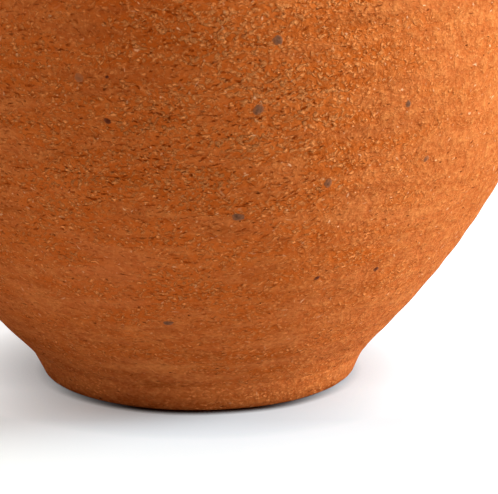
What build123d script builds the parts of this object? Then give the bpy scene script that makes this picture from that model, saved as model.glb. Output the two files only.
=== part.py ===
from build123d import *
from math import asin, cos, radians, sin, sqrt
import os

# A Mexican olla: a footed, round-bellied clay jar with two strap handles and a knobbed lid.
# The potter makes it from separate pieces of clay that are keyed together and luted with slip:
# a foot ring, a floor, two halves of wall joined at the belly, a neck, a rolled rim, two handles
# with a wad of clay at each root, and a lid of three pieces that lifts out of the mouth.
# Millimetres. The jar stands on Z = 0 around the Z axis, and its handles lie on the X axis.
# Half sections are drawn as (radius, height) and turned about Z.

# Foot
foot_radius = 50.0  # at the table, before the edge is rounded
foot_flare = 4.7  # how much wider the foot is where the wall springs from it
foot_height = 9.6
foot_width = 12.0  # of the ring's underside, before its edges are rounded
foot_edge_round = 4.0
foot_inner_round = 2.0

# Body
belly_radius = 117.7
belly_height = 137.0  # of the widest place, where the two halves meet
wall = 7.0
floor_thickness = 8.0
base_wall = 11.0  # level thickness of the wall where it leaves the floor
floor_scarf = 4.0  # how much narrower the floor is underneath, so that it keys into the wall
seam_key = 2.5  # height of the ridge on the lower half that fits a groove in the upper half
seam_coil_radius = 6.0  # of the coil pressed along the inside of the seam

# Shoulder, neck and rim
shoulder_height = 78.0  # from the seam to where the shoulder would run level
crown_radius = 42.0  # where the shoulder would run level
mouth_radius = 56.0
neck_wall = 8.0  # at the waist
neck_spread = 9.0  # how much wider the neck is where it lands on the shoulder
neck_flare = 5.0  # how much wider the neck is under the rim
neck_height = 34.0
rim_overhang = 6.0
rim_height = 12.0
rim_drop = 7.0  # of the rim's upright outer face
rim_outer_round = 4.5
rim_inner_round = 3.0

# Handles
strap_width = 27.0
strap_thickness = 10.0
handle_drop = 13.0  # of the upper root below the rim
handle_rise = 8.0  # of the loop above its upper root
handle_span = 40.0  # from the neck's waist to where the loop turns down
handle_stand = 22.0  # of the loop's elbow off the shoulder
handle_foot_angle = 44.0  # place of the lower root round the shoulder's curve
handle_top_bend = 15.0
handle_elbow_bend = 16.0
root_wad_length = 40.0
root_wad_radius = 9.0

# Lid
lid_gap = 0.3  # between the brim and the rim, which the fired clay never closes
lid_inset = 3.0  # of the lid's edge from the rim's
brim_thickness = 7.0
dome_rise = 16.0
dome_wall = 8.0
flange_clearance = 1.5  # all round, between the flange and the mouth
flange_width = 6.0
flange_depth = 13.0
flange_round = 2.0
knob_foot_radius = 14.0
knob_waist_radius = 10.0
knob_waist_height = 8.0
knob_radius = 19.0
knob_height = 28.0
knob_cap_rise = 10.0  # of the knob's rounded top above its widest place
knob_edge_round = 3.5
tenon_radius = 7.0

# What follows from those
foot_top_radius = foot_radius + foot_flare
foot_bore_radius = foot_radius - foot_width
floor_top = foot_height + floor_thickness
inner_belly_radius = belly_radius - wall
shoulder_reach = belly_radius - crown_radius
neck_waist_radius = mouth_radius + neck_wall
neck_foot_radius = neck_waist_radius + neck_spread
neck_top_radius = neck_waist_radius + neck_flare
rim_radius = neck_top_radius + rim_overhang
lid_radius = rim_radius - lid_inset
flange_radius = mouth_radius - flange_clearance
flange_bore_radius = flange_radius - flange_width


def outline(*points):
    """A face with straight sides through the points."""
    return make_face(Polyline(*points, close=True))


def turned(section):
    """The solid that a half section sweeps about Z. It starts on Y, away from the handles."""
    return revolve(Plane.YZ * section, axis=Axis.Z)


def rounded(section, corner, radius):
    """The section with the corner nearest to that point rounded."""
    nearest = section.vertices().sort_by_distance(Vector(*corner))[0]
    return fillet(nearest, radius)


def wall_radius(height):
    """Outer radius of the lower wall, a parabola that stands upright at the belly."""
    share = (belly_height - height) / (belly_height - foot_height)
    return belly_radius - (belly_radius - foot_top_radius) * share**2


def upright_parabola(start, end):
    """A parabola that leaves start and stands upright at end."""
    return Bezier(start, (end[0], (start[1] + end[1]) / 2), end)


def shoulder_rise(radius):
    """Height of the shoulder's outside at a radius."""
    share = (radius - crown_radius) / shoulder_reach
    return belly_height + shoulder_height * sqrt(1 - share**2)


def dome_arc(edge_radius, edge_height, rise):
    """A round arc from the edge of a dome to its top on the axis."""
    ball = (edge_radius**2 + rise**2) / (2 * rise)
    half = asin(edge_radius / ball) / 2
    top = edge_height + rise
    midway = (ball * sin(half), top - ball + ball * cos(half))
    return ThreePointArc((edge_radius, edge_height), midway, (0, top))


# Heights of the neck, rim, handles and lid, from the shoulder up
neck_foot_height = shoulder_rise(neck_foot_radius)
neck_waist_height = neck_foot_height + neck_height / 2
neck_top_height = neck_foot_height + neck_height
handle_top_height = neck_top_height - handle_drop
rim_top = neck_top_height + rim_height
brim_bottom = rim_top + lid_gap
brim_top = brim_bottom + brim_thickness
dome_top = brim_top + dome_rise

# Pot

floor_radius = wall_radius(floor_top) - base_wall
floor_under_radius = floor_radius - floor_scarf

# The curves of the shoulder's two faces, as whole ellipses
shoulder_centre = Pos(crown_radius, belly_height)
shoulder_outside = shoulder_centre * Ellipse(shoulder_reach, shoulder_height)
shoulder_inside = shoulder_centre * Ellipse(shoulder_reach - wall, shoulder_height - wall)

seam_line = [
    (belly_radius, belly_height),
    (belly_radius - wall / 2, belly_height + seam_key),
    (inner_belly_radius, belly_height),
]


def foot_ring_section():
    corner_out = (foot_radius, 0)
    corner_in = (foot_bore_radius, 0)
    section = outline(
        corner_in,
        corner_out,
        (foot_top_radius, foot_height),
        (foot_bore_radius, foot_height),
    )
    section = rounded(section, corner_out, foot_edge_round)
    return rounded(section, corner_in, foot_inner_round)


def floor_section():
    return outline(
        (0, foot_height),
        (floor_under_radius, foot_height),
        (floor_radius, floor_top),
        (0, floor_top),
    )


def lower_wall_section():
    outside = upright_parabola((foot_top_radius, foot_height), seam_line[0])
    inside = upright_parabola((floor_radius, floor_top), seam_line[-1])
    seam = Polyline(*seam_line)
    foot = Polyline(
        (floor_radius, floor_top),
        (floor_under_radius, foot_height),
        (foot_top_radius, foot_height),
    )
    return make_face([outside, seam, inside, foot])


def upper_wall_section():
    beyond = belly_radius + wall
    above = belly_height + shoulder_height + wall
    window = outline(
        (mouth_radius, above),
        (mouth_radius, belly_height),
        *reversed(seam_line),
        (beyond, belly_height),
        (beyond, above),
    )
    return (shoulder_outside - shoulder_inside) & window


def seam_coil_section():
    coil = Pos(inner_belly_radius, belly_height) * Circle(seam_coil_radius)
    return coil - lower_wall_section() - upper_wall_section()


def neck_section():
    root = (neck_foot_radius, neck_foot_height - wall / 2)
    waist = (neck_waist_radius, neck_waist_height)
    lip = (neck_top_radius, neck_top_height)
    inside = Polyline(lip, (mouth_radius, neck_top_height), (mouth_radius, root[1]), root)
    return make_face([ThreePointArc(root, waist, lip), inside]) - shoulder_outside


def rim_section():
    outer_top = (rim_radius, rim_top)
    inner_top = (mouth_radius, rim_top)
    section = outline(
        (mouth_radius, neck_top_height),
        (neck_top_radius, neck_top_height),
        (rim_radius, rim_top - rim_drop),
        outer_top,
        inner_top,
    )
    section = rounded(section, outer_top, rim_outer_round)
    return rounded(section, inner_top, rim_inner_round)


# Handles

def right_handle(pot):
    """One strap loop on +X, trimmed to what it is luted to."""
    turn = radians(handle_foot_angle)
    root = Vector(
        crown_radius + shoulder_reach * cos(turn),
        belly_height + shoulder_height * sin(turn),
    )
    outward = Vector(cos(turn) / shoulder_reach, sin(turn) / shoulder_height).normalized()
    neck_middle = (mouth_radius + neck_waist_radius) / 2
    path = Plane.XZ * FilletPolyline(
        (neck_middle, handle_top_height),
        (neck_waist_radius + handle_span, handle_top_height + handle_rise),
        root + outward * handle_stand,
        root - outward * (wall / 2),
        radius=(handle_top_bend, handle_elbow_bend),
    )
    start = Plane(origin=path @ 0, x_dir=(0, 1, 0), z_dir=path % 0)
    strap = sweep(start * Ellipse(strap_width / 2, strap_thickness / 2), path=path)
    return strap - pot, Vector(neck_waist_radius, handle_top_height), root


def root_wad(place, pot, strap):
    """A wad of clay pressed round one end of a strap, outside the pot."""
    end = root_wad_length / 2
    shank = end - root_wad_radius
    slant = root_wad_radius * sqrt(0.5)
    half = make_face(
        [
            ThreePointArc((0, end), (slant, shank + slant), (root_wad_radius, shank)),
            Line((root_wad_radius, shank), (root_wad_radius, -shank)),
            ThreePointArc((root_wad_radius, -shank), (slant, -shank - slant), (0, -end)),
            Line((0, -end), (0, end)),
        ]
    )
    wad = Pos(place.X, 0, place.Y) * revolve(half, axis=Axis.Y) - pot - strap
    return wad.solids().sort_by(SortBy.VOLUME)[-1]


# Lid

def lid_dome_section():
    hollow = dome_arc(flange_bore_radius, brim_bottom, dome_top - dome_wall - brim_bottom)
    outside = dome_arc(lid_radius, brim_top, dome_rise)
    sides = Polyline(
        (flange_bore_radius, brim_bottom),
        (lid_radius, brim_bottom),
        (lid_radius, brim_top),
    )
    axis_line = Line((0, dome_top), (0, dome_top - dome_wall))
    return make_face([hollow, sides, outside, axis_line]) - tenon_section()


def tenon_section():
    """The stub under the knob, as long as the dome is thick."""
    return outline(
        (0, dome_top - dome_wall * 2),
        (tenon_radius, dome_top - dome_wall * 2),
        (tenon_radius, dome_top),
        (0, dome_top),
    )


def lid_flange_section():
    corner_out = (flange_radius, brim_bottom - flange_depth)
    corner_in = (flange_bore_radius, brim_bottom - flange_depth)
    section = outline(
        corner_in,
        corner_out,
        (flange_radius, brim_bottom),
        (flange_bore_radius, brim_bottom),
    )
    section = rounded(section, corner_out, flange_round)
    return rounded(section, corner_in, flange_round)


def lid_knob_section():
    root = (knob_foot_radius, dome_top - dome_wall / 2)
    waist = (knob_waist_radius, dome_top + knob_waist_height)
    edge = (knob_radius, dome_top + knob_height - knob_cap_rise)
    knob = make_face(
        [
            ThreePointArc(root, waist, edge),
            dome_arc(*edge, knob_cap_rise),
            Polyline((0, dome_top + knob_height), (0, root[1]), root),
        ]
    )
    knob = rounded(knob, edge, knob_edge_round)
    hollow = make_face(
        [
            dome_arc(flange_bore_radius, brim_bottom, dome_top - dome_wall - brim_bottom),
            Polyline((0, dome_top - dome_wall), (0, brim_bottom), (flange_bore_radius, brim_bottom)),
        ]
    )
    return knob + tenon_section() - lid_dome_section() - hollow


pieces = {
    "foot_ring": turned(foot_ring_section()),
    "floor_disc": turned(floor_section()),
    "lower_wall": turned(lower_wall_section()),
    "seam_coil": turned(seam_coil_section()),
    "upper_wall": turned(upper_wall_section()),
    "neck_collar": turned(neck_section()),
    "rim_roll": turned(rim_section()),
    "lid_dome": turned(lid_dome_section()),
    "lid_flange": turned(lid_flange_section()),
    "lid_knob": turned(lid_knob_section()),
}
luted_to = pieces["upper_wall"] + pieces["neck_collar"]
handle, neck_root, shoulder_root = right_handle(luted_to)
wads = Part() + [root_wad(neck_root, luted_to, handle), root_wad(shoulder_root, luted_to, handle)]
pieces["right_handle"] = handle
pieces["right_handle_wads"] = wads
pieces["left_handle"] = mirror(handle, about=Plane.YZ)
pieces["left_handle_wads"] = mirror(wads, about=Plane.YZ)

os.makedirs("parts", exist_ok=True)
for name, piece in pieces.items():
    export_step(piece, f"parts/{name}.step")
    print(name, len(piece.solids()), round(piece.volume), piece.is_valid)
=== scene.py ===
# %% [markdown]
# # A Mexican olla in fired clay
# An olla is a round-bellied jar for cooking beans over a fire. This one is unglazed: what shows is the
# fired clay itself, wiped while it was wet, with chopped chaff and grit in it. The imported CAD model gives
# the frame, and each piece below is built in metres in that same frame, so nothing has to be fitted by
# eye.

# %% Load the frame
import math
import random

import bpy
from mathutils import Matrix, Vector, noise


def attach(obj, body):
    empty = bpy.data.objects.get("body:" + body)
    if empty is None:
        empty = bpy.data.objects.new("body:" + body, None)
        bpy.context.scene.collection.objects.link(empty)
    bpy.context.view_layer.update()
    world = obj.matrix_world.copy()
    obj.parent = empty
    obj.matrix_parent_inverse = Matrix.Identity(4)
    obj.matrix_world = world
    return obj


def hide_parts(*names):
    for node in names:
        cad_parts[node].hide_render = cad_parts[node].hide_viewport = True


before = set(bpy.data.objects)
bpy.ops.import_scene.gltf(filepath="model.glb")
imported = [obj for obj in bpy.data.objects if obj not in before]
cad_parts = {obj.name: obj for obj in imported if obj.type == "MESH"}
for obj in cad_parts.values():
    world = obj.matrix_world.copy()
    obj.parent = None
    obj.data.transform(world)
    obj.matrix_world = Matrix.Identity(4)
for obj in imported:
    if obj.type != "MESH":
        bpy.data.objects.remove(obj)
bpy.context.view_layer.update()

MM = 0.001  # sizes below are in millimetres, and Blender works in metres

# %% [markdown]
# ## Camera
# The view looks down a little on the foot of the jar from a long way off, so the lens is long and the
# lines hardly converge. The place of the camera was worked out from the outline of the foot and the wall,
# so the same pixel of the picture can be turned into the same place on the clay later on.

# %% The camera
image_width, image_height = 498, 494
focal_pixels = 3663.8
look_down = math.radians(14.40)
view_distance = 1200.0
view_aim = Vector((17.30, 0.0, 41.18))
look_along = Vector((0.0, math.cos(look_down), -math.sin(look_down)))
look_up = Vector((0.0, math.sin(look_down), math.cos(look_down)))
view_place = view_aim - look_along * view_distance

camera_data = bpy.data.cameras.new("Camera")
camera_data.sensor_width = 36.0
camera_data.lens = camera_data.sensor_width * focal_pixels / image_width
camera = bpy.data.objects.new("Camera", camera_data)
camera.location = view_place * MM
camera.rotation_euler = (math.pi / 2 - look_down, 0.0, 0.0)
bpy.context.scene.collection.objects.link(camera)
bpy.context.scene.camera = camera
print("lens:", round(camera_data.lens, 1), "mm")

# %% [markdown]
# ## What the hand leaves in the clay
# A jar turned by hand is never quite round: it sways a little, its foot sits a hair to one side, and the
# wet skin keeps soft dents, lumps and the rings of the turning. A bump in the material could fake this,
# but only real geometry bends the outline. Each mark is a function of the place on the jar, so two pieces
# that meet get the same mark and stay closed.

# %% Marks on the outside, on the inside and on the floor
foot_height = 9.6
mouth_sway_end = 205.0  # above this the jar is round, so that the lid fits


def eased(value, low, high):
    """0 below low, 1 above high, and smooth in between."""
    share = min(max((value - low) / (high - low), 0.0), 1.0)
    return share * share * (3.0 - 2.0 * share)


def sway(angle, height):
    """How much wider than round the jar is there, as a share of its radius."""
    amount = eased(height, 20.0, 120.0) * (1.0 - eased(height, 150.0, mouth_sway_end))
    return amount * (0.0022 * math.cos(2 * angle + 0.6) + 0.0016 * math.cos(3 * angle + 2.1))


def wiped_skin(place):
    """Millimetres that the wiped outside stands out: slow dents, small lumps and turning rings."""
    angle = math.atan2(place.y, place.x)
    dents = 0.40 * noise.noise(place / 22.0)
    lumps = 0.17 * noise.noise(place / 5.5)
    patch = 0.55 + 0.9 * noise.noise(place / 33.0 + Vector((7.0, 3.0, 1.0)))
    rings = 0.13 * patch * math.sin(math.tau * place.z / 9.0 + angle)
    return dents + lumps + rings


def finger_rings(place):
    """Millimetres that the inside stands out between the tracks of the potter's fingers."""
    angle = math.atan2(place.y, place.x)
    return 0.45 * math.sin(math.tau * place.z / 11.0 + angle) + 0.3 * noise.noise(place / 20.0)


def floor_spiral(place):
    """Millimetres that the inside of the floor or lid stands out along the spiral of its turning."""
    angle = math.atan2(place.y, place.x)
    reach = math.hypot(place.x, place.y)
    fade = eased(reach, 2.0, 14.0)
    return fade * 0.4 * math.sin(math.tau * reach / 10.0 - angle) + 0.2 * noise.noise(place / 15.0)


foot_offset = 0.57  # the foot was set this far to the right of the wall


def off_centre(height):
    return foot_offset * (1.0 - eased(height, foot_height, foot_height + 4.0))


print("wall sways by", round(sway(0.0, 137.0) * 117.7, 2), "mm at the belly")

# %% [markdown]
# ## Turning a piece
# Most pieces of a pot are turned: a closed outline, swept once round the axis. Blender's screw modifier
# could do it, but here every point also gets its hand mark, so the rings of points are written out and
# joined with four-sided faces. An outline runs up the outside and down the inside, so its faces look
# outwards.

# %% A turned piece
def turned(name, outline, around):
    """A mesh turned from (radius, height, marks, push) points. A radius of 0 is the axis."""
    points, rings = [], []
    closed = outline[0][0] > 0 and outline[-1][0] > 0
    for radius, height, marks, push in outline:
        count = around if radius > 0 else 1
        rings.append(range(len(points), len(points) + count))
        for step in range(count):
            angle = math.tau * step / around
            reach = radius * (1.0 + sway(angle, height))
            place = Vector((reach * math.cos(angle), reach * math.sin(angle), height))
            if marks:
                out = marks(place)
                place += out * Vector((push.x * math.cos(angle), push.x * math.sin(angle), push.y))
            place.x += off_centre(height)
            points.append(place * MM)
    return piece_from(name, points, skin(rings, closed))


def skin(rings, closed):
    """Faces between each ring of points and the next. A ring of one point is a pole."""
    faces = []
    count = max(len(ring) for ring in rings)
    for low, high in zip(rings, rings[1:] + rings[:1] if closed else rings[1:]):
        for k in range(count):
            nxt = k + 1
            corners = (low[k % len(low)], low[nxt % len(low)], high[nxt % len(high)], high[k % len(high)])
            faces.append(tuple(dict.fromkeys(corners)))
    return faces


def piece_from(name, points, faces):
    """A smooth-shaded object from points in metres, with its sharp edges kept."""
    mesh = bpy.data.meshes.new(name)
    mesh.from_pydata(points, [], faces)
    mesh.polygons.foreach_set("use_smooth", [True] * len(mesh.polygons))
    mesh.set_sharp_from_angle(angle=math.radians(38.0))
    made = bpy.data.objects.new(name, mesh)
    bpy.context.scene.collection.objects.link(made)
    print(name, len(points), "points", len(faces), "faces")
    return made


def run(points, marks=None, fade_in=0.0, fade_out=0.0, whole=False):
    """Outline points with marks that push square to the run and fade towards an end.
    The last point is left to the next run, unless the run is whole."""
    places = [Vector(point) for point in points]
    walked = [0.0]
    for before, here in zip(places, places[1:]):
        walked.append(walked[-1] + (here - before).length)
    out = []
    for k, here in enumerate(places if whole else places[:-1]):
        along = (places[min(k + 1, len(places) - 1)] - places[max(k - 1, 0)]).normalized()
        amount = eased(walked[k], -1e-6, fade_in) * eased(walked[-1] - walked[k], -1e-6, fade_out)
        out.append((here.x, here.y, marks, Vector((along.y, -along.x)) * amount))
    return out


def spaced(start, end, count):
    """Values in even steps from start to end."""
    return [start + (end - start) * k / count for k in range(count + 1)]


def line(start, end, step):
    """Points on a straight line, about a step apart."""
    count = max(1, round(math.dist(start, end) / step))
    return list(zip(spaced(start[0], end[0], count), spaced(start[1], end[1], count)))


# %% [markdown]
# ## Curves of the outline
# The wall is a parabola that stands upright at the belly, the shoulder is part of an ellipse, and the
# neck, knob and lid are round arcs. The same sizes drive the CAD solids, so the dressed pieces lie on
# them.

# %% Curves
foot_radius, foot_top_radius, foot_bore_radius = 50.4, 54.7, 38.0  # its edge is worn rounder than the solid's
belly_radius, belly_height, wall = 117.7, 137.0, 7.0
floor_top, base_wall, floor_scarf = 17.6, 11.0, 4.0
shoulder_height, crown_radius = 78.0, 42.0
mouth_radius, neck_waist_radius, neck_foot_radius, neck_top_radius = 56.0, 64.0, 73.0, 69.0
neck_height, rim_height, rim_radius = 34.0, 12.0, 75.0
shoulder_reach = belly_radius - crown_radius


def thumb_smear(height):
    """Millimetres of clay that a thumb smeared into the angle between foot and wall."""
    return 0.25 * math.exp(-(((height - foot_height) / 3.0) ** 2))


def wall_radius(height):
    """Outer radius of the lower wall, with the smear where it springs from the foot."""
    share = (belly_height - height) / (belly_height - foot_height)
    return belly_radius - (belly_radius - foot_top_radius) * share**2 + thumb_smear(height)


def shoulder_rise(radius):
    """Height of the shoulder's outside at a radius."""
    share = (radius - crown_radius) / shoulder_reach
    return belly_height + shoulder_height * math.sqrt(max(0.0, 1.0 - share**2))


def arc_through(start, middle, end, count):
    """Points on the round arc through three places."""
    (ax, ay), (bx, by), (cx, cy) = start, middle, end
    d = 2 * (ax * (by - cy) + bx * (cy - ay) + cx * (ay - by))
    a2, b2, c2 = ax * ax + ay * ay, bx * bx + by * by, cx * cx + cy * cy
    ux = (a2 * (by - cy) + b2 * (cy - ay) + c2 * (ay - by)) / d
    uy = (a2 * (cx - bx) + b2 * (ax - cx) + c2 * (bx - ax)) / d
    reach = math.dist(start, (ux, uy))
    first = math.atan2(ay - uy, ax - ux)
    mid = (math.atan2(by - uy, bx - ux) - first + math.pi) % math.tau - math.pi
    last = (math.atan2(cy - uy, cx - ux) - first) % math.tau
    last = last if mid > 0 else last - math.tau
    turns = spaced(first, first + last, count)
    return [(ux + reach * math.cos(turn), uy + reach * math.sin(turn)) for turn in turns]


def soft_corner(before, corner, after, radius, count=6):
    """Points on a round of that radius at a corner between two straight lines."""
    here = Vector(corner)
    towards = (Vector(before) - here).normalized()
    onwards = (Vector(after) - here).normalized()
    half = math.acos(max(-1.0, min(1.0, towards.dot(onwards)))) / 2
    reach = radius / math.tan(half)
    centre = here + (towards + onwards).normalized() * radius / math.sin(half)
    nearest = centre - (towards + onwards).normalized() * radius
    start, end = here + towards * reach, here + onwards * reach
    return arc_through(tuple(start), tuple(nearest), tuple(end), count)


neck_foot_height = shoulder_rise(neck_foot_radius)
neck_top_height = neck_foot_height + neck_height
rim_top = neck_top_height + rim_height

# %% [markdown]
# ## Foot and floor
# The jar stands on a low ring that flares into the wall. Its lower edge was rounded with a wet thumb, so
# it touches the table a few millimetres further in. The floor is a slab set on the ring, and its upper
# side keeps a spiral.

# %% Foot ring and floor disc
edge_in = soft_corner((foot_bore_radius, foot_height), (foot_bore_radius, 0.0), (foot_radius, 0.0), 2.0)
edge_out = soft_corner((foot_bore_radius, 0.0), (foot_radius, 0.0), (foot_top_radius, foot_height), 4.5, 14)
side_count, (side_radius, side_low) = 10, edge_out[-1]
side_radii = spaced(side_radius, foot_top_radius, side_count)
side_heights = spaced(side_low, foot_height, side_count)
foot_side = [(radius + thumb_smear(height), height) for radius, height in zip(side_radii, side_heights)]
foot_outline = (
    run(edge_in)
    + run(line(edge_in[-1], edge_out[0], 2.0))
    + run(edge_out[:-1] + foot_side, wiped_skin, fade_in=5.0, fade_out=4.0, whole=True)
    + run(line((foot_top_radius - 2.0, foot_height), (foot_bore_radius, foot_height), 4.0))
    + run(line((foot_bore_radius, foot_height), edge_in[0], 1.5), finger_rings, fade_in=3.0, fade_out=3.0)
)
foot_ring = turned("foot_ring", foot_outline, around=360)

floor_radius = wall_radius(floor_top) - base_wall
floor_under_radius = floor_radius - floor_scarf
floor_face = line((floor_radius, floor_top), (1.5, floor_top), 1.2)
floor_outline = (
    run([(0.0, foot_height)] + line((4.0, foot_height), (floor_under_radius, foot_height), 4.0))
    + run(line((floor_under_radius, foot_height), (floor_radius, floor_top), 4.0))
    + run(floor_face, floor_spiral, fade_in=4.0, fade_out=2.0, whole=True)
    + run([(0.0, floor_top)], whole=True)
)
floor_disc = turned("floor_disc", floor_outline, around=120)

# %% [markdown]
# ## Wall, shoulder and seam
# The belly is made in two halves, because wet clay can't carry itself that far out. The upper half has a
# groove, the lower one a ridge, and a coil is pressed along the seam inside. The lower wall is what the
# eye meets first, so its points lie about a millimetre apart and can carry the dents and lumps.

# %% Lower wall, upper wall and seam coil
seam_key, seam_coil_radius = 2.5, 6.0
inner_belly_radius = belly_radius - wall
wall_step = 0.92
wall_count = round((belly_height - foot_height) / wall_step)
lower_outside = [(wall_radius(height), height) for height in spaced(foot_height, belly_height, wall_count)]


def inner_wall_radius(height):
    """Inner radius of the lower wall, a parabola like the outer one."""
    share = (belly_height - height) / (belly_height - floor_top)
    return inner_belly_radius - (inner_belly_radius - floor_radius) * share**2


lower_inside = [(inner_wall_radius(height), height) for height in spaced(belly_height, floor_top, 36)]
seam_peak = (belly_radius - wall / 2, belly_height + seam_key)
lower_outline = (
    run(lower_outside, wiped_skin, fade_in=4.0, whole=True)
    + run([seam_peak], whole=True)
    + run(lower_inside, finger_rings, fade_in=4.0, fade_out=4.0, whole=True)
    + run([(floor_under_radius, foot_height)], whole=True)
    + run(line((floor_under_radius + 2.0, foot_height), (foot_top_radius, foot_height), 2.0))
)
lower_wall = turned("lower_wall", lower_outline, around=480)

shoulder_turn = math.acos((mouth_radius - crown_radius) / shoulder_reach)
inner_turn = math.acos((mouth_radius - crown_radius) / (shoulder_reach - wall))


def on_shoulder(turn, inwards=0.0):
    """The place on the shoulder's ellipse at a turn from level, on its outside or on a curve further in."""
    reach, rise = shoulder_reach - inwards, shoulder_height - inwards
    return crown_radius + reach * math.cos(turn), belly_height + rise * math.sin(turn)


upper_outside = [on_shoulder(turn) for turn in spaced(0.0, shoulder_turn, 96)]
upper_inside = [on_shoulder(turn, wall) for turn in spaced(inner_turn, 0.0, 30)]
upper_outline = (
    run([upper_inside[-1], seam_peak], whole=True)
    + run(upper_outside, wiped_skin, fade_out=18.0, whole=True)
    + run(upper_inside, finger_rings, fade_in=4.0, fade_out=4.0)
)
upper_wall = turned("upper_wall", upper_outline, around=480)

coil_start, coil_end = 96.0, 264.0  # degrees round the coil, short of the wall at both ends
coil_inside = []
for turn in spaced(math.radians(coil_start), math.radians(coil_end), 12):
    radius = inner_belly_radius + seam_coil_radius * math.cos(turn)
    coil_inside.append((radius, belly_height + seam_coil_radius * math.sin(turn)))
coil_outline = run(coil_inside, finger_rings, fade_in=3.0, fade_out=3.0, whole=True)
coil_outline += run([(inner_belly_radius, belly_height)], whole=True)
seam_coil = turned("seam_coil", coil_outline, around=240)

# %% [markdown]
# ## Neck and rim
# The neck is a waisted collar luted on the shoulder, and the rim is a thick roll that keeps the mouth
# from chipping and carries the lid. Its top stays true, without marks, because the lid has to sit on it.

# %% Neck collar and rim roll
neck_outside = arc_through(
    (neck_foot_radius, neck_foot_height),
    (neck_waist_radius, neck_foot_height + neck_height / 2),
    (neck_top_radius, neck_top_height),
    40,
)
neck_under = [(radius, shoulder_rise(radius)) for radius in spaced(mouth_radius, neck_foot_radius, 8)]
neck_outline = (
    run(neck_under)
    + run(neck_outside, wiped_skin, fade_in=4.0, fade_out=4.0, whole=True)
    + run(line((neck_top_radius - 3.0, neck_top_height), (mouth_radius, neck_top_height), 4.0))
    + run(line((mouth_radius, neck_top_height), neck_under[0], 1.5), finger_rings, fade_in=4.0, fade_out=4.0)
)
neck_collar = turned("neck_collar", neck_outline, around=360)

rim_corners = [
    (mouth_radius, neck_top_height),
    (neck_top_radius, neck_top_height),
    (rim_radius, rim_top - 7.0),
    (rim_radius, rim_top),
    (mouth_radius, rim_top),
]
rim_low = soft_corner(rim_corners[1], rim_corners[2], rim_corners[3], 4.0)
rim_high = soft_corner(rim_corners[2], rim_corners[3], rim_corners[4], 4.5, 10)
rim_lip = soft_corner(rim_corners[3], rim_corners[4], rim_corners[0], 3.0)
rim_side = line(rim_corners[1], rim_low[0], 0.8)[:-1] + rim_low + rim_high
rim_outline = (
    run(line(rim_corners[0], rim_corners[1], 4.0))
    + run(rim_side, wiped_skin, fade_in=4.0, fade_out=6.0, whole=True)
    + run(line((rim_high[-1][0] - 2.0, rim_top), rim_lip[0], 2.0))
    + run(rim_lip)
    + run(line(rim_lip[-1], rim_corners[0], 1.5), finger_rings, fade_in=3.0, fade_out=3.0)
)
rim_roll = turned("rim_roll", rim_outline, around=360)

# %% [markdown]
# ## Handles
# Each handle is a strap pulled from a lump of clay and bent into a loop from the neck to the shoulder. It
# is thickest in the middle of its width, has one shallow furrow where the thumb ran, and widens where it
# was pressed on. It is swept along a path of straight runs and bends, as the CAD strap is.

# %% Strap handles
strap_width, strap_thickness = 27.0, 10.0
handle_drop, handle_reach, handle_lift = 13.0, 40.0, 8.0  # of the loop's top below the rim, out and up
root_stand, root_sink, top_bend, low_bend = 22.0, 3.0, 15.0, 16.0
handle_top_height = neck_top_height - handle_drop
foot_turn = math.radians(44.0)
shoulder_root = Vector(on_shoulder(foot_turn))
root_out = Vector((math.cos(foot_turn) / shoulder_reach, math.sin(foot_turn) / shoulder_height)).normalized()
neck_root = Vector((neck_waist_radius, handle_top_height))
loop_corners = [
    Vector(((mouth_radius + neck_waist_radius) / 2 + 1.0, handle_top_height)),
    Vector((neck_waist_radius + handle_reach, handle_top_height + handle_lift)),
    shoulder_root + root_out * root_stand,
    shoulder_root - root_out * root_sink,
]
loop_path = [tuple(loop_corners[0])]
loop_path += soft_corner(*loop_corners[:3], top_bend, 16)
loop_path += soft_corner(*loop_corners[1:], low_bend, 14)
loop_path.append(tuple(loop_corners[3]))


def evenly(path, step):
    """Points about a step apart along a path of straight bits."""
    out = []
    for start, end in zip(path, path[1:]):
        out += line(start, end, step)[:-1]
    return out + [path[-1]]


def strap_section(share):
    """One point of the strap's oval, as (across, through), for a share of the way round it."""
    across = strap_width / 2 * math.cos(math.tau * share)
    through = strap_thickness / 2 * math.sin(math.tau * share)
    furrow = 1.0 - 0.16 * math.exp(-((across / 4.5) ** 2))
    return across, through * furrow


def strap_handle(name, side):
    """A strap loop on the right (side 1) or on the left (side -1)."""
    path = [Vector(point) for point in evenly(loop_path, 1.2)]
    length = sum((b - a).length for a, b in zip(path, path[1:]))
    points, rings, walked = [], [], 0.0
    round_count = 56
    for index, here in enumerate(path):
        before, after = path[max(index - 1, 0)], path[min(index + 1, len(path) - 1)]
        along = (after - before).normalized()
        walked += (here - before).length if index else 0.0
        end = min(walked, length - walked)
        wider = 1.0 + 0.22 * math.exp(-((end / 9.0) ** 2))
        rings.append(range(len(points), len(points) + round_count))
        for k in range(round_count):
            across, through = strap_section(k / round_count)
            place = Vector((here.x - along.y * through, across * wider, here.y + along.x * through))
            lump = 0.35 * noise.noise(place / 13.0 + Vector((0, 0, 40.0 * side)))
            lump += 0.12 * noise.noise(place / 4.5)
            outer = math.copysign(1, through)
            place += lump * Vector((-along.y * outer, 0.0, along.x * outer))
            points.append(Vector((place.x * side, place.y, place.z)) * MM)
    faces = skin(rings, closed=False) + [tuple(reversed(rings[0])), tuple(rings[-1])]
    if side > 0:
        faces = [tuple(reversed(face)) for face in faces]
    return piece_from(name, points, faces)


right_handle = strap_handle("right_handle", 1)
left_handle = strap_handle("left_handle", -1)

# %% [markdown]
# ## Wads at the roots
# The potter presses a wad of clay round each end of a strap and smooths it out, so the joint ends in a
# hollow curve on the pot. Each wad is a ring round the strap: it starts on the strap, curves out to the
# wall and closes underneath. To lie on a curved wall, each of its points looks for the wall along the
# strap's own direction.

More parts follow.
